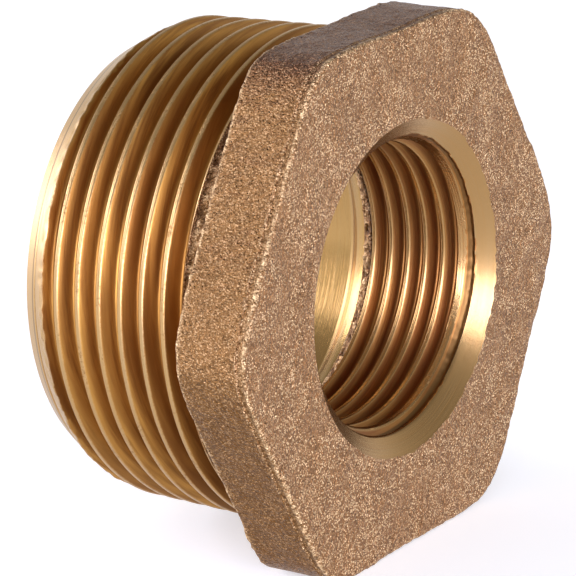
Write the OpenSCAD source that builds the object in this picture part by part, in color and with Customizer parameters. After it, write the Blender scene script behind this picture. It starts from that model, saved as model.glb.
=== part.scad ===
// Hexagon reducing bush, cast in red bronze in one piece.
// A tapered male pipe thread and a smaller parallel female pipe thread share one axis.
// It lies on one flat of its hexagon, with the axis along X and the female mouth at +X.

/* [Head] */
// Width across the flats of the hexagon
head_af = 44.5; // [43.5:0.1:60]
// Thickness of the head along the axis
head_t = 7.3; // [5:0.1:14]
// Radius of the six cast corners
corner_r = 7; // [3:0.5:9]
// Radius round the edges of the two faces
edge_r = 0.7; // [0.6:0.1:2.2]

/* [Male thread] */
// Major diameter at the gauge plane
male_gauge_d = 41.91; // [40:0.01:43]
// Distance from the male end to the gauge plane
male_gauge_len = 12.7; // [8:0.1:15]
// Threads per inch of the male thread
male_tpi = 11; // [10:1:16]
// Length of the male thread from its end
male_len = 16.6; // [12:0.1:28]
// Distance from the male end to the middle of the first crest
male_first_crest = 1.4; // [1.3:0.1:2.2]
// Length of the chamfer at the male end
end_chamfer_len = 2.1; // [1:0.1:3]
// Depth of the chamfer at the male end
end_chamfer_depth = 1.2; // [0.6:0.1:1.4]
// Diameter of the cast neck between the thread and the head
neck_d = 41; // [39:0.1:42]
// Length of the cast neck
neck_len = 1.4; // [0.6:0.1:3]

/* [Female thread] */
// Minor diameter of the parallel female thread
female_minor_d = 24.117; // [20:0.001:25]
// Threads per inch of the female thread
female_tpi = 14; // [12:1:19]
// Distance from the face to the middle of the first crest
female_first_crest = 2.43; // [2:0.01:3]
// Depth of the female thread from the face
female_len = 11.8; // [9:0.1:12.4]
// Diameter of the countersunk mouth at the face
mouth_d = 28.7; // [27.5:0.1:31]
// Angle across the countersink
mouth_angle = 105; // [90:1:120]
// Depth of the slimmer cone that leads into the thread
lead_len = 2.9; // [2:0.01:3.2]
// Angle across the slimmer cone
lead_angle = 44; // [30:1:50]

/* [Hollow] */
// Diameter of the hollow behind the female thread
hollow_d = 32; // [31:0.1:34]
// Distance from the face to the full width of the hollow
hollow_depth = 16.2; // [14.5:0.1:17]
// Diameter where the rough cast cone meets the turned cone
seat_d = 26.5; // [25.5:0.1:28]
// Distance from the face to the end of the rough cast cone
seat_depth = 13.2; // [12.8:0.1:14]

/* [Hidden] */
$fn = 96;

inch = 25.4;
// A Whitworth thread's depth is this share of its pitch
form_depth = 0.640327;
// Half the width of the flat on each crest and in each root, as a share of the pitch
form_flat = 1 / 12;
// A taper of 1 in 16 on the diameter
taper = 1 / 32;
// Cutting shapes run this far past what they cut
past = 1;
// Facets round the cast corners
corner_fn = 36;
// Angle in degrees from one facet to the next round the edges of the faces
edge_step = 22.5;
corners = 6;

total_len = male_len + neck_len + head_t;
male_pitch = inch / male_tpi;
male_depth = form_depth * male_pitch;
male_crests = floor((male_len - male_first_crest - male_pitch / 2) / male_pitch) + 1;
male_end_d = male_gauge_d - 2 * taper * male_gauge_len;
female_pitch = inch / female_tpi;
female_major_d = female_minor_d + 2 * form_depth * female_pitch;
female_crests = floor((female_len - female_first_crest) / female_pitch) + 1;

// Major radius of the tapered thread at a distance z from the male end
function male_r(z) = male_gauge_d / 2 + (z - male_gauge_len) * taper;

// Outline of the male thread, from the root before its first crest to the root after its last
male_outline = [
    for (k = [0:male_crests - 1])
        let (
            crest = male_first_crest + k * male_pitch,
            root = crest - male_pitch / 2,
            flat = form_flat * male_pitch,
            crest_r = male_r(crest),
            root_r = male_r(root) - male_depth
        )
        each [[root_r, root - flat], [root_r, root + flat], [crest_r, crest - flat], [crest_r, crest + flat]]
];
last_root = male_first_crest + (male_crests - 0.5) * male_pitch;
last_root_r = male_r(last_root) - male_depth;

// Outline of the female thread, as radius and depth from the face
female_outline = [
    for (k = [0:female_crests - 1])
        let (
            crest = female_first_crest + k * female_pitch,
            root = crest - female_pitch / 2,
            flat = form_flat * female_pitch,
            major_r = female_major_d / 2,
            minor_r = female_minor_d / 2
        )
        each [
            [minor_r, root - female_pitch / 2 + flat],
            [major_r, root - flat],
            [major_r, root + flat],
            [minor_r, crest - flat]
        ]
];

// A disc with rounded edges, lying on Z = 0
module rounded_disc(r, h, edge) {
    rotate_extrude($fn = corner_fn)
        polygon(concat(
            [[0, 0]],
            [for (a = [0:edge_step:90]) [r - edge + edge * sin(a), edge - edge * cos(a)]],
            [for (a = [0:edge_step:90]) [r - edge + edge * cos(a), h - edge + edge * sin(a)]],
            [[0, h]]
        ));
}

// Hexagonal head from Z = 0 up, with two of its flats square to X
module head() {
    corner_place = (head_af / 2 - corner_r) / cos(180 / corners);
    hull()
        for (k = [0:corners - 1])
            rotate([0, 0, (k + 0.5) * 360 / corners])
                translate([corner_place, 0, 0])
                    rounded_disc(corner_r, head_t, edge_r);
}

// Male thread with the plain neck behind it, from the male end at Z = 0 up
module male_thread() {
    rotate_extrude()
        polygon(concat(
            [[0, -past], [male_outline[0][0], -past]],
            male_outline,
            [
                [last_root_r, last_root - form_flat * male_pitch],
                [last_root_r, male_len],
                [neck_d / 2, male_len],
                [neck_d / 2, male_len + neck_len + head_t / 2],
                [0, male_len + neck_len + head_t / 2]
            ]
        ));
}

// The turned blank that leaves the chamfer on the male end
module chamfered_blank() {
    rotate_extrude()
        polygon([
            [0, 0],
            [male_end_d / 2 - end_chamfer_depth, 0],
            [male_end_d / 2 + past * end_chamfer_depth / end_chamfer_len, end_chamfer_len + past],
            [head_af / 2, end_chamfer_len + past],
            [head_af / 2, total_len],
            [0, total_len]
        ]);
}

// The threaded bore, measured down from the face at Z = 0
module female_thread() {
    mirror([0, 0, 1])
        rotate_extrude()
            polygon(concat(
                [[0, -past], [female_minor_d / 2, -past]],
                female_outline,
                [[female_minor_d / 2, female_len + past], [0, female_len + past]]
            ));
}

// A cone with its point down, as wide as d at Z = 0 and angle degrees across
module countersink(d, angle) {
    slope = tan(angle / 2);
    mirror([0, 0, 1])
        rotate_extrude()
            polygon([[0, -past], [d / 2 + past * slope, -past], [0, d / 2 / slope]]);
}

// The countersink at the mouth and the slimmer cone inside it
module mouth() {
    countersink(mouth_d, mouth_angle);
    countersink(female_minor_d + 2 * lead_len * tan(lead_angle / 2), lead_angle);
}

// The cast cone, the turned cone and the wide hollow that runs out through the male end
module hollow() {
    mirror([0, 0, 1])
        rotate_extrude()
            polygon([
                [0, female_len],
                [female_minor_d / 2, female_len],
                [seat_d / 2, seat_depth],
                [hollow_d / 2, hollow_depth],
                [hollow_d / 2, total_len + past],
                [0, total_len + past]
            ]);
}

module reducing_bush() {
    color([0.72, 0.52, 0.33])
        translate([-total_len / 2, 0, head_af / 2])
            rotate([0, 90, 0])
                difference() {
                    union() {
                        translate([0, 0, total_len - head_t])
                            head();
                        intersection() {
                            male_thread();
                            chamfered_blank();
                        }
                    }
                    translate([0, 0, total_len]) {
                        mouth();
                        female_thread();
                        hollow();
                    }
                }
}

reducing_bush();
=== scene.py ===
"""Looks of the hexagon reducing bush: cast head, turned male thread and threaded bore."""

import math

import bpy
import numpy as np
from mathutils import Matrix, Vector


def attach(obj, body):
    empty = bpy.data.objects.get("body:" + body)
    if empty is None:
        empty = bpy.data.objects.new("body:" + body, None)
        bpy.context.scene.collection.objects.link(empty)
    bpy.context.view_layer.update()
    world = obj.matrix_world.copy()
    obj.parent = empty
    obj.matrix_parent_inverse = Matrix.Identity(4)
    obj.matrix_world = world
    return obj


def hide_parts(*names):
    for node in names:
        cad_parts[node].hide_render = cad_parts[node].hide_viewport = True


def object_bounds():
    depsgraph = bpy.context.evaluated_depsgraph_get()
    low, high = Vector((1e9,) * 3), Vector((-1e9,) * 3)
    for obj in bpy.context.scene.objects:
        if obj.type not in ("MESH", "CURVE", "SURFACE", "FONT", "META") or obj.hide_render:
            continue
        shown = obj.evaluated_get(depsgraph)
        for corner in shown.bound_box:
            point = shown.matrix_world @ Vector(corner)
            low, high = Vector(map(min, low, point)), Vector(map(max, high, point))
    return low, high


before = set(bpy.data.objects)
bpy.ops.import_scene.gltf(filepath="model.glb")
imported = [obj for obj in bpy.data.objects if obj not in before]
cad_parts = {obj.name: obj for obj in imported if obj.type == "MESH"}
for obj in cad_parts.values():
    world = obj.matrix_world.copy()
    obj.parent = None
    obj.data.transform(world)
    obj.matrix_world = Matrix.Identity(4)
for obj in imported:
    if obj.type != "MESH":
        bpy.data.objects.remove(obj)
cad_lo, cad_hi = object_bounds()

MM = 0.001
TURN = 2 * math.pi
# Middle of the hexagon face in the part's frame, in mm. All shapes below are in mm from it:
# x along the axis, out of the face, and an angle round the axis from +y towards +z.
FACE_X = cad_hi.x / MM
AXIS_Z = cad_hi.z / 2 / MM

# Places in the list of materials
CAST, MALE, BORE = 0, 1, 2

# Whitworth form, in pitches: the radius of its round crests and roots, its depth, and half the height
# of the sharp form that it is cut from. The slope of its flanks is in degrees.
CREST_ARC = 0.137329
FORM_DEPTH = 0.640327
SHARP_HALF = 0.480246
FLANK_SLOPE = 27.5
# The fine line along each crest: half its width in pitches, and its depth outside and in the bore
CREST_LINE = 0.028
MALE_LINE_DEPTH, FEMALE_LINE_DEPTH = 0.035, 0.03
# Where a thread's rows lie within a pitch, from one crest to the next
THREAD_STEPS = np.array([0, 0.022, 0.045, 0.07, 0.095, 0.125, 0.19, 0.26, 0.33, 0.385, 0.43, 0.475,
                         0.525, 0.57, 0.615, 0.67, 0.74, 0.81, 0.875, 0.905, 0.93, 0.955, 0.978])
# A point of a thread that lies this close to an end ring gives way to the ring
MERGE = 0.004

# Head: its thickness, the round edges at the face and the back, and the power that sets its corners
HEAD_T = 6.8
EDGE_R, BACK_R = 0.3, 0.45
AF_HALF = AXIS_Z
CORNER_POWER = 15.4
# The casting is a little uneven: how far each side and corner lies outside the even hexagon,
# from the side at 30 degrees and the corner at 0 onwards, and how wide a corner's bulge is in degrees
SIDE_OUT = (-0.55, 0.02, -0.12, 0.15, 0.13, 0.12)
CORNER_OUT = (-0.30, -0.14, 0.07, -0.15, 0.38, -0.03)
CORNER_WIDTH = 9
# Marks along the head's side, as place and half width: the ridge behind the face, the scored line and
# the flash at the back, and the shallow step between the first two
RIDGE_X, RIDGE_W = -0.18, 0.19
LINE_X, LINE_W = -1.0, 0.07
FLASH_X, FLASH_W = -HEAD_T + 0.2, 0.17
STEP_X, STEP_END_X, STEP_SOFT = -0.33, -0.95, 0.1
# Heights of the ridge, the flash, the line and the step, and how uneven the first two are
RIDGE_H, FLASH_H, LINE_H, STEP_H = 0.06, 0.07, 0.06, -0.08
RIDGE_UNEVEN, FLASH_UNEVEN = 0.05, 0.06
# Layers of noise in the cast skin, each as height, width of its lumps and seed, and the lumps and
# chips of the ridge and the flash as width and seed
HEAD_LAYERS = ((0.1, 5.5, 31), (0.05, 2.3, 32), (0.045, 0.9, 33), (0.03, 0.42, 34))
RIDGE_LUMP, RIDGE_CHIP = (0.55, 35), (0.32, 36)
# The side's rows lie close together from the face to here
FINE_X = -1.3
FACE_ROWS, EDGE_ROWS, FINE_ROWS, SIDE_ROWS, BACK_ROWS = 34, 7, 19, 22, 12
# The back of the head ends at this radius, inside the neck
BACK_HOLE_R = 20.4

# Male thread: a crest at angle 0 lies at x = MALE_PHASE, less whole pitches. The crests of both threads
# stand as close as in the photograph, a little closer than the standard pitches.
END_X = -25.7
MALE_PITCH, MALE_PHASE = 2.19, -11.36
MALE_END_R = 20.67
MALE_TAPER = 1 / 32
# Where the thread ends and the cast neck begins. The last groove runs out over RUN_OUT_LEN.
MALE_THREAD_X = -8.35
NECK_R = 20.9
RUN_OUT_R, RUN_OUT_X = NECK_R + 0.05, MALE_THREAD_X - 0.1
RUN_OUT_DEPTH, RUN_OUT_LEN = 1.5, 0.5
# The grooves take their stain and painted shade up to here
SHADE_AND_STAIN_END_X = MALE_THREAD_X - 0.12
# The neck's lumps as height, width and seed, broad ones and fine ones
NECK_LUMP, NECK_GRAIN = (0.1, 1.5, 11), (0.12, 0.5, 12)
NECK_ROWS = 16
# The end chamfer's radius at the end face, how much it grows per mm, and where its edge turns ragged,
# over what length and how much
CHAMFER_R, CHAMFER_SLOPE = 18.72, 0.584
RAGGED_X, RAGGED_LEN, RAGGED_H = END_X + 1.7, 0.7, 0.1
# The line scored round the chamfer
CHAMFER_LINE_X = END_X + 1.05
END_FACE_RADII = (18.4, 17.8, 17.2, 16.6)
# Inner wall of the piece, which the bore's piece hides
MALE_WALL_R = 17.2

# Bore: the mouth's countersink, and the slimmer cone inside it as if that ran out to the face
MOUTH_R, MOUTH_SLOPE = 14.35, 1.303
LEAD_R, LEAD_SLOPE = 13.23, 0.404
# The uneven edge of the mouth, as layers of noise
MOUTH_LAYERS = ((0.05, 2.2, 3), (0.06, 0.45, 4))
# The countersink's own rows lie between these places, and then the thread's rows begin
MOUTH_START_X, MOUTH_END_X = -0.15, -0.8
FEMALE_PITCH, FEMALE_PHASE = 1.755, -4.03
FEMALE_MINOR = 24.117 / 2
FEMALE_END = -11.43
# The groove that the thread starts with in the cone, from this place towards the face. It is shallower
# by a share, torn by this many mm, and its depth counts the third number times more in its colour, which
# paints shade into it.
FIRST_GROOVE_X, FIRST_GROOVE_LEN = -2.3, 0.5
SHALLOWER, TORN, GROOVE_SHADE_GAIN = 0.25, 0.05, 20
# The cast cone: the radius that it starts at, its layers of noise, and its rows
CONE_R = 12.15
CONE_LAYERS = ((0.12, 0.6, 21), (0.24, 0.33, 22))
CONE_ROWS = 16
# The hollow: its radius, and where its rows begin
HOLLOW_R = 16.0
HOLLOW_ROWS_X, HOLLOW_ROWS = -16.6, 14
# The turned seat between the cast cone and the hollow, as x and radius
SEAT = ((-12.76, 13.26), (-12.82, 13.34), (-13.68, 13.52), (-13.76, 13.6),
        (-14.96, 15.02), (-15.04, 15.1), (-15.38, 15.21), (-15.5, HOLLOW_R))
# Outer wall of the piece, which the other two hide
BORE_WALL_R = 16.9

# Numbers that scatter the places of the noise, and the low 32 and 16 bits of a number
SCATTER = (374761393, 668265263, 1442695041)
SEED_SCATTER, LAST_SCATTER = 1446653, 1274126177
LOW_32, LOW_16 = 0xFFFFFFFF, 0xFFFF


def smooth(t):
    """Rises from 0 to 1 as t does, with no kink."""
    t = np.clip(t, 0, 1)
    return t * t * (3 - 2 * t)


def bell(off, width):
    """1 where off is 0, and fading within about width of it."""
    return np.exp(-((off / width) ** 2))


def lattice(i, seed):
    """A fixed random number from -1 to 1 at each whole-number place."""
    h = (i[0] * SCATTER[0] + i[1] * SCATTER[1] + i[2] * SCATTER[2] + seed * SEED_SCATTER) & LOW_32
    h = ((h ^ (h >> 13)) * LAST_SCATTER) & LOW_32
    return ((h ^ (h >> 16)) & LOW_16) / (LOW_16 / 2) - 1


def noise(x, y, z, size, seed):
    """Smooth noise from -1 to 1 with lumps about size wide."""
    p = np.stack(np.broadcast_arrays(x, y, z)).astype(float) / size
    base = np.floor(p).astype(np.int64)
    weights = smooth(p - base)
    out = 0
    for corner in np.ndindex(2, 2, 2):
        share = 1
        for weight, far in zip(weights, corner):
            share = share * (weight if far else 1 - weight)
        place = base + np.array(corner).reshape(3, *[1] * (base.ndim - 1))
        out = out + share * lattice(place, seed)
    return out


def layers(x, y, z, shapes):
    """Layers of noise, each given as its height, the width of its lumps and its seed."""
    return sum(height * noise(x, y, z, size, seed) for height, size, seed in shapes)


def round_layers(x, angle, r, shapes):
    """layers() on the surface of a round part."""
    return layers(x, r * np.cos(angle), r * np.sin(angle), shapes)


def off_crest(phase):
    """Distance from the nearest crest, in pitches."""
    return np.abs((phase + 0.5) % 1 - 0.5)


def thread_form(phase):
    """Height of the Whitworth form above its mid line, in pitches, with a crest at phase 0."""
    u = off_crest(phase)
    middle = FORM_DEPTH / 2 - CREST_ARC
    tangent = CREST_ARC * math.cos(math.radians(FLANK_SLOPE))
    flank = SHARP_HALF * (1 - 4 * u)
    crest = middle + np.sqrt(np.maximum(CREST_ARC**2 - u**2, 0))
    root = -middle - np.sqrt(np.maximum(CREST_ARC**2 - (0.5 - u) ** 2, 0))
    return np.where(u < tangent, crest, np.where(u > 0.5 - tangent, root, flank))


def crest_line(phase):
    """The fine line that the cutting tool leaves along the middle of each crest."""
    return bell(off_crest(phase), CREST_LINE)


def mouth_edge(angle):
    """How far the turned mouth's edge stands off the face, because the cast face is uneven."""
    return round_layers(0, angle, MOUTH_R, MOUTH_LAYERS)


class Piece:
    """A closed piece built a band at a time.

    Each band is a grid of points, with rows along the profile and columns round the axis."""

    def __init__(self, name, columns):
        self.name, self.columns = name, columns
        self.angle = np.arange(columns) * TURN / columns
        self.points, self.depth, self.total = [], [], 0
        self.faces, self.uvs, self.slots = [], [], []

    def add(self, x, y, z, depth=0.0):
        """Adds points and returns their numbers. The materials read depth."""
        p = np.stack([a.ravel() for a in np.broadcast_arrays(x, y, z)], 1)
        self.points.append(p)
        self.depth.append(np.broadcast_to(depth, len(p)))
        self.total += len(p)
        return np.arange(self.total - len(p), self.total)

    def ring(self, x, r, depth=0.0):
        return self.add(x, r * np.cos(self.angle), r * np.sin(self.angle), depth)

    def band(self, ids, slot, v, shift=0):
        """Faces between the rows of a grid of point numbers.

        v is each row's or point's place on the UV map. A thread's rows move on by shift in a turn."""
        ids = np.asarray(ids)
        rows = len(ids)
        v = np.broadcast_to(np.asarray(v, float).reshape(rows, -1), ids.shape)
        ahead = np.clip(np.arange(rows) + shift, 0, rows - 1)
        ids = np.concatenate([ids, ids[ahead, :1]], 1)
        v = np.concatenate([v, v[ahead, :1]], 1)
        u = np.broadcast_to(np.arange(self.columns + 1) / self.columns, ids.shape)
        near, far = slice(None, -1), slice(1, None)
        corners = ((near, near), (far, near), (far, far), (near, far))
        quads = np.stack([ids[c] for c in corners], -1).reshape(-1, 4)
        uvs = np.stack([np.stack([u[c], v[c]], -1) for c in corners], -2).reshape(-1, 4, 2)
        same = quads == np.roll(quads, -1, 1)
        for q, t, s in zip(quads.tolist(), uvs.tolist(), same.tolist()):
            if any(s):
                keep = [k for k in range(4) if not s[k]]
                if len(keep) < 3:
                    continue
                q, t = [q[k] for k in keep], [t[k] for k in keep]
            self.faces.append(q)
            self.uvs.extend(t)
            self.slots.append(slot)

    def thread(self, low, high, x_low, x_high, pitch, phase, radius, slot, v_low, v_high):
        """A threaded band down from the ring high to the ring low, whose rows follow the helix.

        The helix has a crest at x = phase at angle 0. radius() gives radius and depth at any point."""
        turns = math.ceil((x_high - x_low) / pitch) + 3
        steps = (np.arange(turns)[:, None] + THREAD_STEPS).ravel() * pitch
        lead = pitch * self.angle / TURN
        start = phase + math.floor((x_low - phase) / pitch - 1) * pitch - pitch
        x = start + steps[:, None] + lead
        inside = (x > x_low + MERGE) & (x < x_high - MERGE)
        x = np.clip(x, x_low, x_high)
        ids = np.where(x <= x_low + MERGE, low, high)
        a = np.broadcast_to(self.angle, x.shape)[inside]
        r, depth = radius(x[inside], a)
        x_seen = np.where(inside, x, np.where(ids == low, x_low, x_high))
        v = v_low + (v_high - v_low) * (x_seen - x_low) / (x_high - x_low)
        ids[inside] = self.add(x[inside], r * np.cos(a), r * np.sin(a), depth)
        self.band(ids[::-1], slot, v[::-1], -len(THREAD_STEPS))

    def build(self, materials):
        """Makes the object and ties it to the frame."""
        co = np.concatenate(self.points)
        co = (co + np.array([FACE_X, 0, AXIS_Z])) * MM
        mesh = bpy.data.meshes.new(self.name)
        mesh.from_pydata(co.tolist(), [], self.faces)
        for m in materials:
            mesh.materials.append(m)
        mesh.polygons.foreach_set("material_index", np.array(self.slots, np.int32))
        layer = mesh.uv_layers.new(name="OFBake")
        layer.uv.foreach_set("vector", np.array(self.uvs, np.float32).ravel())
        layer = mesh.attributes.new("depth", "FLOAT", "POINT")
        layer.data.foreach_set("value", np.concatenate(self.depth).astype(np.float32))
        mesh.shade_smooth()
        mesh.set_sharp_from_angle(angle=math.radians(40))
        mesh.update()
        o = bpy.data.objects.new(self.name, mesh)
        bpy.context.scene.collection.objects.link(o)
        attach(o, "root")
        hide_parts("reducing_bush")


def male_radius(x, a):
    """Radius of the male thread, and how deep in its groove that is, as a share of the form's depth."""
    crest_r = MALE_END_R + (x - END_X) * MALE_TAPER
    phase = (x - MALE_PHASE) / MALE_PITCH - a / TURN
    r = crest_r + (thread_form(phase) - FORM_DEPTH / 2) * MALE_PITCH
    r = r - MALE_LINE_DEPTH * crest_line(phase)
    r = np.maximum(r, RUN_OUT_R - RUN_OUT_DEPTH * smooth((RUN_OUT_X - x) / RUN_OUT_LEN))
    ragged = round_layers(x, a, 20, ((RAGGED_H, 0.5, 13),))
    chamfer = CHAMFER_R + CHAMFER_SLOPE * (x - END_X) + ragged * smooth((x - RAGGED_X) / RAGGED_LEN)
    depth = (np.minimum(crest_r, chamfer) - r) * (x < SHADE_AND_STAIN_END_X)
    return np.minimum(r, chamfer), np.maximum(depth, 0) / (FORM_DEPTH * MALE_PITCH)


def female_radius(x, a):
    """Radius of the bore, and how deep in the groove that is. The first groove counts as deeper, which
    paints shade into its colour.
    """
    phase = (x - FEMALE_PHASE) / FEMALE_PITCH - a / TURN
    start = smooth((x - FIRST_GROOVE_X) / FIRST_GROOVE_LEN)
    height = (FORM_DEPTH / 2 - thread_form(phase)) * FEMALE_PITCH * (1 - SHALLOWER * start)
    r = FEMALE_MINOR + height + FEMALE_LINE_DEPTH * crest_line(phase)
    r = r + start * round_layers(x, a, 13, ((TORN, 0.4, 14),))
    cone = np.maximum(MOUTH_R + MOUTH_SLOPE * x, LEAD_R + LEAD_SLOPE * x)
    depth = (r - np.maximum(cone, FEMALE_MINOR)) * (1 + GROOVE_SHADE_GAIN * start)
    return np.maximum(r, cone), np.maximum(depth, 0) / (FORM_DEPTH * FEMALE_PITCH)


def male_piece(materials):
    """Male thread with the cast neck behind it, as a sleeve."""
    p = Piece("male_thread", 464)
    thread_ring = p.ring(MALE_THREAD_X, male_radius(MALE_THREAD_X, p.angle)[0])
    wall = [p.ring(END_X, HOLLOW_R), p.ring(END_X + 0.6, MALE_WALL_R),
            p.ring(-HEAD_T - 0.2, MALE_WALL_R), p.ring(-HEAD_T + 0.4, BACK_HOLE_R - 0.1)]
    p.band(wall, CAST, (0.0, 0.01, 0.02, 0.03))
    neck_r = NECK_R + round_layers(0, p.angle, NECK_R, (NECK_LUMP,))
    neck = [wall[-1]]
    for x in np.linspace(-HEAD_T + 0.2, MALE_THREAD_X + 0.1, NECK_ROWS):
        lump = round_layers(x, p.angle, NECK_R, (NECK_GRAIN,))
        neck.append(p.ring(x, neck_r + lump, np.clip(10 * lump - 0.15, -0.7, 1)))
    neck.append(thread_ring)
    p.band(neck, CAST, np.linspace(0.03, 0.1, len(neck)))
    end_ring = p.ring(END_X, male_radius(END_X, p.angle)[0])
    p.thread(end_ring, thread_ring, END_X, MALE_THREAD_X, MALE_PITCH, MALE_PHASE,
             male_radius, MALE, 0.92, 0.1)
    face = [end_ring, *[p.ring(END_X, r) for r in END_FACE_RADII], wall[0]]
    p.band(face, MALE, np.linspace(0.92, 1.0, len(face)))
    p.build(materials)


def bore_piece(materials):
    """Mouth, female thread, cast cone, turned seat and hollow, as a sleeve."""
    p = Piece("threaded_bore", 512)
    edge = mouth_edge(p.angle)
    places = (edge, *np.linspace(MOUTH_START_X, MOUTH_END_X, 5))
    mouth = [p.ring(x, MOUTH_R + MOUTH_SLOPE * x) for x in places]
    p.band(mouth, BORE, np.linspace(0.02, 0.1, len(mouth)))
    thread_end = p.ring(FEMALE_END, female_radius(FEMALE_END, p.angle)[0])
    p.thread(thread_end, mouth[-1], FEMALE_END, MOUTH_END_X, FEMALE_PITCH, FEMALE_PHASE,
             female_radius, BORE, 0.564, 0.1)
    rough = [thread_end]
    for t in np.linspace(0.06, 1, CONE_ROWS):
        x = FEMALE_END + (SEAT[0][0] - FEMALE_END) * t
        r = CONE_R + (SEAT[0][1] - CONE_R) * t
        lump = round_layers(x, p.angle, r, CONE_LAYERS) * min(1, 5 * (1 - t))
        rough.append(p.ring(x + lump * 0.4, r + lump, np.clip(-6 * lump, -1, 1)))
    p.band(rough, CAST, np.linspace(0.6, 0.68, len(rough)))
    seat = [rough[-1], *[p.ring(x, r) for x, r in SEAT[1:]]]
    p.band(seat, BORE, np.linspace(0.68, 0.76, len(seat)))
    hollow = [seat[-1], *[p.ring(x, HOLLOW_R) for x in np.linspace(HOLLOW_ROWS_X, END_X, HOLLOW_ROWS)]]
    p.band(hollow, BORE, np.linspace(0.76, 0.97, len(hollow)))
    wall = [hollow[-1], p.ring(END_X + 0.5, BORE_WALL_R), p.ring(-7, BORE_WALL_R), mouth[0]]
    p.band(wall, CAST, (0.97, 0.98, 0.99, 1.0))
    p.build(materials)


def head_outline(a):
    """Distance from the axis to the head's side at each angle."""
    total = 0
    for k, out in enumerate(SIDE_OUT):
        off = np.cos(a - math.radians(30 + 60 * k))
        total = total + np.where(off > 0.2, np.maximum(off, 0.2) / (AF_HALF + out), 0) ** CORNER_POWER
    r = total ** (-1 / CORNER_POWER)
    for k, out in enumerate(CORNER_OUT):
        off = (a - math.radians(60 * k) + math.pi) % TURN - math.pi
        r = r + out * bell(off, math.radians(CORNER_WIDTH))
    return r


def head_rows(a):
    """Rows of points from the mouth over the face, the sides and the back, and the normals there."""
    cy, cz = np.cos(a), np.sin(a)
    r = head_outline(a)
    y, z = r * cy, r * cz
    ty, tz = np.roll(y, -1) - np.roll(y, 1), np.roll(z, -1) - np.roll(z, 1)
    size = np.hypot(ty, tz)
    ny, nz = tz / size, -ty / size
    rows, normals = [], []

    def side_row(x, inset, forward, outward):
        """A row that follows the outline, inset from it. The last two give its normal."""
        rows.append(np.stack([x + 0 * a, y - inset * ny, z - inset * nz]))
        normals.append(np.stack([forward + 0 * a, outward * ny, outward * nz]))

    def flat_row(x, hole_r, inset, t, forward):
        """A row of a flat side, t of the way from its round hole to the outline."""
        rows.append(np.stack([x + 0 * a, hole_r * cy * (1 - t) + (y - inset * ny) * t,
                              hole_r * cz * (1 - t) + (z - inset * nz) * t]))
        normals.append(np.stack([forward + 0 * a, 0 * a, 0 * a]))

    edge = mouth_edge(a)
    quarter = np.radians(np.linspace(0, 90, EDGE_ROWS)[1:])
    fine, coarse = np.linspace(-EDGE_R, FINE_X, FINE_ROWS), np.linspace(FINE_X, -HEAD_T + BACK_R, SIDE_ROWS)
    for t in np.linspace(0, 1, FACE_ROWS):
        flat_row(edge * (1 - smooth(t * 6)), MOUTH_R + MOUTH_SLOPE * edge, EDGE_R, t, 1)
    for t in quarter:
        side_row(-EDGE_R * (1 - math.cos(t)), EDGE_R * (1 - math.sin(t)), math.cos(t), math.sin(t))
    for x in (*fine[1:], *coarse[1:]):
        side_row(x, 0, 0, 1)
    for t in quarter:
        side_row(-HEAD_T + BACK_R * (1 - math.sin(t)), BACK_R * (1 - math.cos(t)), -math.sin(t), math.cos(t))
    for t in np.linspace(0, 1, BACK_ROWS)[1:]:
        flat_row(-HEAD_T, BACK_HOLE_R, BACK_R, 1 - t, -1)
    return np.array(rows), np.array(normals)


def head_relief(x, y, z, side):
    """How far the cast skin stands out, and how far it is rubbed bright. side is 1 on the six sides."""
    lump = noise(x, y, z, *RIDGE_LUMP)
    uneven = lump + noise(x, y, z, *RIDGE_CHIP)
    ridge = bell(x - RIDGE_X, RIDGE_W) * side
    flash = bell(x - FLASH_X, FLASH_W) * side
    step = smooth((x - STEP_END_X) / STEP_SOFT) * smooth((STEP_X - x) / STEP_SOFT)
    line = bell(x - LINE_X, LINE_W) * smooth(0.5 + 1.5 * lump)
    relief = layers(x, y, z, HEAD_LAYERS) + STEP_H * step + LINE_H * line
    relief = relief + ridge * (RIDGE_H + RIDGE_UNEVEN * uneven) + flash * (FLASH_H + FLASH_UNEVEN * uneven)
    wear = (ridge + flash) * (0.8 + 0.5 * uneven) + 0.35 * line + 0.15 * step
    return relief, np.clip(wear, 0, 1)


def head_piece(materials):
    """Hexagon head with its cast skin, whose relief fades out at the mouth's edge."""
    p = Piece("cast_head", 720)
    rows, normals = head_rows(p.angle)
    relief, wear = head_relief(rows[:, 0], rows[:, 1], rows[:, 2], np.hypot(normals[:, 1], normals[:, 2]))
    fade = smooth(np.arange(len(rows)) / 4)
    rows = rows + normals * (relief * fade[:, None])[:, None, :]
    ids = [p.add(*q, w) for q, w in zip(rows, wear)]
    closing = [ids[-1], p.ring(-HEAD_T + 0.6, 19.5), p.ring(-1.5, 17.5), ids[0]]
    p.band(ids, CAST, np.linspace(0, 0.97, len(ids)))
    p.band(closing, CAST, (0.97, 0.98, 0.99, 1.0))
    p.build(materials)


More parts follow.
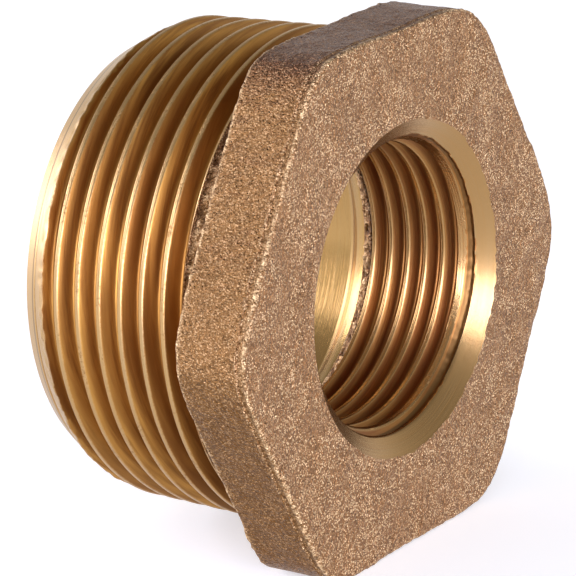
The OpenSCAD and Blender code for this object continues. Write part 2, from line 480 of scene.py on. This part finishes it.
class Graph:
    """Builds one material's nodes with short calls."""

    def __init__(self, name):
        self.material = bpy.data.materials.new(name)
        self.material.use_nodes = True
        self.tree = self.material.node_tree
        self.shader = self.tree.nodes["Principled BSDF"]
        where = self.node("TexCoord", out="Object")
        self.place = self.node("VectorMath", {0: where, 1: (1 / MM,) * 3, 2: (-FACE_X, 0, -AXIS_Z)},
                               operation="MULTIPLY_ADD")

    def node(self, kind, inputs=(), out=0, **settings):
        n = self.tree.nodes.new("ShaderNode" + kind)
        for key, value in settings.items():
            setattr(n, key, value)
        for key, value in dict(inputs).items():
            self.put(n.inputs[key], value)
        return n.outputs[out]

    def put(self, socket, value):
        if isinstance(value, bpy.types.NodeSocket):
            self.tree.links.new(value, socket)
        else:
            socket.default_value = value

    def math(self, operation, a, b=0.0, clamp=False):
        return self.node("Math", {0: a, 1: b}, operation=operation, use_clamp=clamp)

    def noise(self, vector, scale, detail=2.0, roughness=0.5):
        inputs = {"Vector": vector, "Scale": scale, "Detail": detail, "Roughness": roughness}
        return self.node("TexNoise", inputs)

    def remap(self, value, low, high, to_low=0.0, to_high=1.0):
        return self.node("MapRange", {0: value, 1: low, 2: high, 3: to_low, 4: to_high})

    def mix(self, share, a, b):
        a = (*a, 1) if isinstance(a, tuple) else a
        b = (*b, 1) if isinstance(b, tuple) else b
        return self.node("Mix", {0: share, 6: a, 7: b}, 2, data_type="RGBA")

    def scale(self, colour, share):
        return self.node("VectorMath", {0: colour, 3: share}, operation="SCALE")

    def bump(self, height, distance):
        return self.node("Bump", {"Height": height, "Distance": distance * MM, "Strength": 1.0})

    def finish(self, colour, roughness, normal):
        inputs = {"Base Color": colour, "Roughness": roughness, "Normal": normal, "Metallic": 1.0}
        for key, value in inputs.items():
            self.put(self.shader.inputs[key], value)
        return self.material


# Colours of the cast skin: two on the hexagon face, then painted shade for the sides, for what faces down
# and for what faces up
FACE_TONE, FACE_TONE_2 = (0.34, 0.162, 0.063), (0.39, 0.19, 0.075)
SIDE_SHADE_TONE, UNDER_SHADE_TONE, TOP_SHADE_TONE = (0.28, 0.137, 0.048), (0.175, 0.066, 0.004), (0.20, 0.08, 0.04)
# Painted glints on the grains, edges that are rubbed bright, and hollows that keep their dirt
GLINT_TONE, RUBBED_TONE, DIRT_TONE = (0.98, 0.74, 0.44), (0.86, 0.60, 0.33), (0.05, 0.02, 0.01)
GRAINS_PER_MM = 6.8

# Colours of turned bronze: the crests, the plain stretch behind the thread, and the valleys' two darker
# tones, which give both streaky stain and painted shade that deepens into the grooves
MALE_TONES = ((0.52, 0.34, 0.16), (0.52, 0.34, 0.16), (0.58, 0.30, 0.07), (0.26, 0.11, 0.026))
BORE_TONES = ((0.41, 0.25, 0.105), (0.43, 0.265, 0.10), (0.43, 0.215, 0.06), (0.25, 0.10, 0.03))
# A scored line, and the painted shade of the first groove
SCORE_TONE, GROOVE_SHADE_TONE = (0.14, 0.08, 0.03), (0.15, 0.075, 0.025)


def cast_material():
    """Cast skin of pitted grains with painted glints, and painted shade on the sides, the top and the
    underside.
    """
    g = Graph("cast_bronze")
    blotch = g.noise(g.place, 0.35, 3)
    lump = g.noise(g.place, 2.6, 3, 0.6)
    bend = g.node("TexNoise", {"Vector": g.place, "Scale": 6.0}, "Color")
    place = g.node("VectorMath", {0: bend, 1: (0.16,) * 3, 2: g.place}, operation="MULTIPLY_ADD")
    grains = g.node("TexVoronoi", {"Vector": place, "Scale": GRAINS_PER_MM}).node
    chance = g.node("SeparateColor", {0: grains.outputs["Color"]})
    middle = g.remap(grains.outputs["Distance"], 0.62, 0.12)
    # Painted glints: the middles of some grains are brightened as if they caught the light
    painted_glint = g.math("MULTIPLY", middle, g.remap(chance, 0.35, 0.8))
    pit = g.math("MULTIPLY", middle, g.remap(chance, 0.36, 0.08))
    wear = g.node("Attribute", out="Fac", attribute_name="depth")
    normal = g.node("SeparateXYZ", {0: g.node("TexCoord", out="Normal")}).node
    out, top = normal.outputs["X"], normal.outputs["Z"]
    colour = g.mix(g.remap(blotch, 0.35, 0.65), FACE_TONE, FACE_TONE_2)
    # Painted shade: the six sides, what faces down and what faces up are darker than the face, as light
    # falls on them
    colour = g.mix(g.remap(out, 0.75, 0.3), colour, SIDE_SHADE_TONE)
    colour = g.mix(g.remap(top, -0.1, -0.6, 0, 0.9), colour, UNDER_SHADE_TONE)
    colour = g.mix(g.remap(top, 0.5, 0.95, 0, 0.9), colour, TOP_SHADE_TONE)
    # Painted glints brighten the grains' middles, and pits darken them
    share = g.math("SUBTRACT", g.remap(painted_glint, 0, 1, 0.78, 1.6), g.math("MULTIPLY", pit, 0.45))
    share = g.math("MULTIPLY", share, g.remap(lump, 0.3, 0.7, 0.8, 1.2))
    colour = g.scale(colour, share)
    # The painted glints are strongest on the hexagon face and weaker on the sides
    glint_share = g.math("MULTIPLY", painted_glint, g.remap(out, 0.3, 0.75, 0.33, 1.0))
    colour = g.mix(glint_share, colour, GLINT_TONE)
    bright = g.math("MULTIPLY", wear, g.remap(chance, 0.25, 0.75, 0.15, 1.0))
    colour = g.mix(g.math("MULTIPLY", bright, 0.9, True), colour, RUBBED_TONE)
    colour = g.mix(g.math("MULTIPLY", wear, -0.9, True), colour, DIRT_TONE)
    rough = g.remap(chance, 0, 1, 0.26, 0.46)
    height = g.math("SUBTRACT", lump, g.math("MULTIPLY", grains.outputs["Distance"], 0.5))
    return g.finish(colour, rough, g.bump(height, 0.2))


def turned_material(name, tones, rough, reach, lines, plain_x, torn_span, torn_share, line_x, underside_shade):
    """Turned bronze whose valleys are darkened by stain and by painted shade that grows with the groove's
    depth.

    rough is the roughness of the crests and of the valleys, reach the share of the thread's depth where
    the valleys' stain and painted shade are full, and lines the height of the turning lines in mm. Behind
    plain_x there is no thread.
    torn_span and torn_share say where and how far the crests are torn, line_x is the place of one line
    scored round the part, and the last argument is what the underside keeps of its colour, as painted shade."""
    crest, plain, valley, dark = tones
    g = Graph(name)
    xyz = g.node("SeparateXYZ", {0: g.place}).node
    x, y, z = (xyz.outputs[k] for k in range(3))
    r = g.math("SQRT", g.math("ADD", g.math("MULTIPLY", y, y), g.math("MULTIPLY", z, z)))
    cy, cz = g.math("DIVIDE", y, r), g.math("DIVIDE", z, r)
    along = g.math("ADD", x, g.math("MULTIPLY", r, 0.8))

    def lathe(per_mm, per_turn):
        """A place whose noise is drawn out into lines round the axis."""
        around = [g.math("MULTIPLY", c, per_turn) for c in (cy, cz)]
        return g.node("CombineXYZ", {0: g.math("MULTIPLY", along, per_mm), 1: around[0], 2: around[1]})

    streak = g.noise(lathe(6.0, 1.4), 1.0, 4, 0.65)
    cloud = g.noise(lathe(1.3, 0.9), 1.0, 3, 0.6)
    depth = g.node("Attribute", out="Fac", attribute_name="depth")
    pits = g.noise(g.place, 3.8, 3, 0.7)
    patch = g.remap(g.noise(g.place, 0.35, 2), 0.5, 0.62)
    edge = g.math("ADD", depth, g.math("MULTIPLY", g.math("SUBTRACT", pits, 0.5), 0.1))
    cut = g.node("MapRange", {0: edge, 1: 0.02, 2: reach}, interpolation_type="SMOOTHSTEP")
    after, before = g.math("GREATER_THAN", x, torn_span[0]), g.math("LESS_THAN", x, torn_span[1])
    torn = g.math("MULTIPLY", g.remap(pits, 0.53, 0.60), g.math("SUBTRACT", 1.0, cut))
    torn = g.math("MULTIPLY", g.math("MULTIPLY", torn, torn_share),
                  g.math("MULTIPLY", patch, g.math("MULTIPLY", after, before)))
    score = g.remap(g.math("ABSOLUTE", g.math("SUBTRACT", x, line_x)), 0.05, 0.16, 0.7, 0)
    base = g.mix(g.math("LESS_THAN", x, plain_x), crest, plain)
    base = g.mix(g.remap(streak, 0.35, 0.65, 0.35, 0), base, valley)
    base = g.mix(torn, base, dark)
    base = g.mix(score, base, SCORE_TONE)
    low = g.mix(g.remap(cloud, 0.35, 0.65), valley, dark)
    low = g.mix(g.remap(streak, 0.45, 0.62, 0, 0.85), low, dark)
    # Painted shade and stain: the valleys' darker tones take over as the groove deepens
    tone = g.mix(cut, base, low)
    # Painted shade in the deepest grooves: the bore's first groove goes dark
    tone = g.mix(g.remap(depth, 1.05, 1.7, 0, 0.9), tone, GROOVE_SHADE_TONE)
    # Painted shade: the colour darkens towards the underside of the part
    tone = g.scale(tone, g.remap(cz, 0.3, -0.5, 1, underside_shade))
    roughness = g.math("ADD", g.remap(cut, 0, 1, *rough), g.math("MULTIPLY", torn, 0.2))
    height = g.math("SUBTRACT", g.math("MULTIPLY", streak, lines), g.math("MULTIPLY", torn, 0.04))
    height = g.math("SUBTRACT", height, g.math("MULTIPLY", score, 0.012))
    return g.finish(tone, roughness, g.bump(height, 1.0))


materials = [
    cast_material(),
    turned_material("threaded_bronze", MALE_TONES, rough=(0.32, 0.42), reach=0.1, lines=0.025,
                    plain_x=END_X, torn_span=(END_X + 2.3, MALE_THREAD_X), torn_share=0.6,
                    line_x=CHAMFER_LINE_X, underside_shade=0.84),
    turned_material("turned_bronze", BORE_TONES, rough=(0.24, 0.38), reach=0.2, lines=0.02,
                    plain_x=FEMALE_END, torn_span=(-2.7, -1.5), torn_share=0.35,
                    line_x=END_X - 1, underside_shade=1.0),
]
male_piece(materials)
bore_piece(materials)
head_piece(materials)

# Camera, from the lens that the photograph's outline, mouth and crests fit. Its angles are in degrees,
# its distance from the middle of the hexagon face is in mm, and a mm there is PX_PER_MM pixels.
AZIMUTH, ELEVATION, ROLL = 56.004, 16.932, -2.015
DISTANCE, PX_PER_MM = 368.0, 11.970
PICTURE, SENSOR = 576, 36
# Where the middle of the hexagon face lies in the picture, in pixels from its top left corner
MIDDLE_PX, MIDDLE_PY = 407.995, 289.203


def add_camera():
    turn, lift, roll = (math.radians(angle) for angle in (AZIMUTH, ELEVATION, ROLL))
    shift_x, shift_y = (MIDDLE_PX - PICTURE / 2) / PX_PER_MM, (MIDDLE_PY - PICTURE / 2) / PX_PER_MM
    back = Vector((math.cos(lift) * math.cos(turn), -math.cos(lift) * math.sin(turn), math.sin(lift)))
    level = Vector((math.sin(turn), math.cos(turn), 0))
    upright = back.cross(level)
    right = math.cos(roll) * level + math.sin(roll) * upright
    up = math.cos(roll) * upright - math.sin(roll) * level
    eye = (DISTANCE * back - shift_x * right + shift_y * up + Vector((FACE_X, 0, AXIS_Z))) * MM
    camera = bpy.data.objects.new("camera", bpy.data.cameras.new("camera"))
    bpy.context.scene.collection.objects.link(camera)
    camera.matrix_world = Matrix.Translation(eye) @ Matrix((right, up, back)).transposed().to_4x4()
    camera.data.sensor_width = SENSOR
    camera.data.lens = SENSOR * DISTANCE * PX_PER_MM / PICTURE
    camera.data.clip_start, camera.data.clip_end = 0.01, 20
    bpy.context.scene.camera = camera


# The room fades from white at the first of these heights, as the sine of the elevation, to OVERHEAD at
# the second
HORIZON = (0.15, 0.6)
OVERHEAD = 0.38
# What the floor adds for the camera and in reflections, which brings it to white
FLOOR_GLOW = 0.42
# The uneven hexagon reaches a little below the even one, and the floor lies under it
FLOOR_Z = -0.0003
# The lamps face this point from this far
AIM = Vector((0, 0, 0.022))
LAMP_DISTANCE = 0.6


def add_room():
    """A plain room that is white at the horizon and dim overhead."""
    world = bpy.data.worlds.new("studio")
    bpy.context.scene.world = world
    world.use_nodes = True
    nodes, links = world.node_tree.nodes, world.node_tree.links
    way = nodes.new("ShaderNodeTexCoord")
    split = nodes.new("ShaderNodeSeparateXYZ")
    fade = nodes.new("ShaderNodeMapRange")
    fade.inputs["From Min"].default_value, fade.inputs["From Max"].default_value = HORIZON
    fade.inputs["To Min"].default_value, fade.inputs["To Max"].default_value = 1.0, OVERHEAD
    links.new(way.outputs["Generated"], split.inputs[0])
    links.new(split.outputs["Z"], fade.inputs["Value"])
    links.new(fade.outputs["Result"], nodes["Background"].inputs["Strength"])
    nodes["Background"].inputs["Color"].default_value = (1, 1, 1, 1)


def add_floor():
    bpy.ops.mesh.primitive_plane_add(size=3, location=(0, 0, FLOOR_Z))
    floor = bpy.context.object
    floor.name = "floor"
    g = Graph("floor_white")
    rays = g.node("LightPath").node.outputs
    mirrored = g.math("MAXIMUM", rays["Is Glossy Ray"], rays["Is Transmission Ray"])
    seen = g.math("MAXIMUM", rays["Is Camera Ray"], mirrored)
    g.put(g.shader.inputs["Base Color"], (0.8, 0.8, 0.8, 1))
    g.put(g.shader.inputs["Roughness"], 0.9)
    g.put(g.shader.inputs["Emission Color"], (1, 1, 1, 1))
    g.put(g.shader.inputs["Emission Strength"], g.math("MULTIPLY", seen, FLOOR_GLOW))
    floor.data.materials.append(g.material)


def lamp(name, azimuth, elevation, width, height, power, colour):
    """A soft box that faces the part. Azimuth is from +x towards +y and both angles are in degrees."""
    data = bpy.data.lights.new(name, "AREA")
    data.shape = "RECTANGLE"
    data.size, data.size_y = width, height
    data.energy, data.color = power, colour
    o = bpy.data.objects.new(name, data)
    bpy.context.scene.collection.objects.link(o)
    turn, lift = math.radians(azimuth), math.radians(elevation)
    way = Vector((math.cos(turn) * math.cos(lift), math.sin(turn) * math.cos(lift), math.sin(lift)))
    o.location = way * LAMP_DISTANCE + AIM
    o.rotation_mode = "QUATERNION"
    o.rotation_quaternion = way.to_track_quat("Z", "Y")


add_camera()
add_room()
add_floor()
lamp("left_box", azimuth=-155, elevation=19, width=0.40, height=0.28, power=2.5, colour=(0.97, 1.0, 1.2))
lamp("front_box", azimuth=-42, elevation=9, width=0.90, height=0.24, power=6.4, colour=(0.96, 1.0, 1.32))
lamp("rear_box", azimuth=177, elevation=2, width=0.28, height=0.24, power=0.7, colour=(0.98, 1.0, 1.2))

bpy.context.scene.view_settings.view_transform = "Standard"
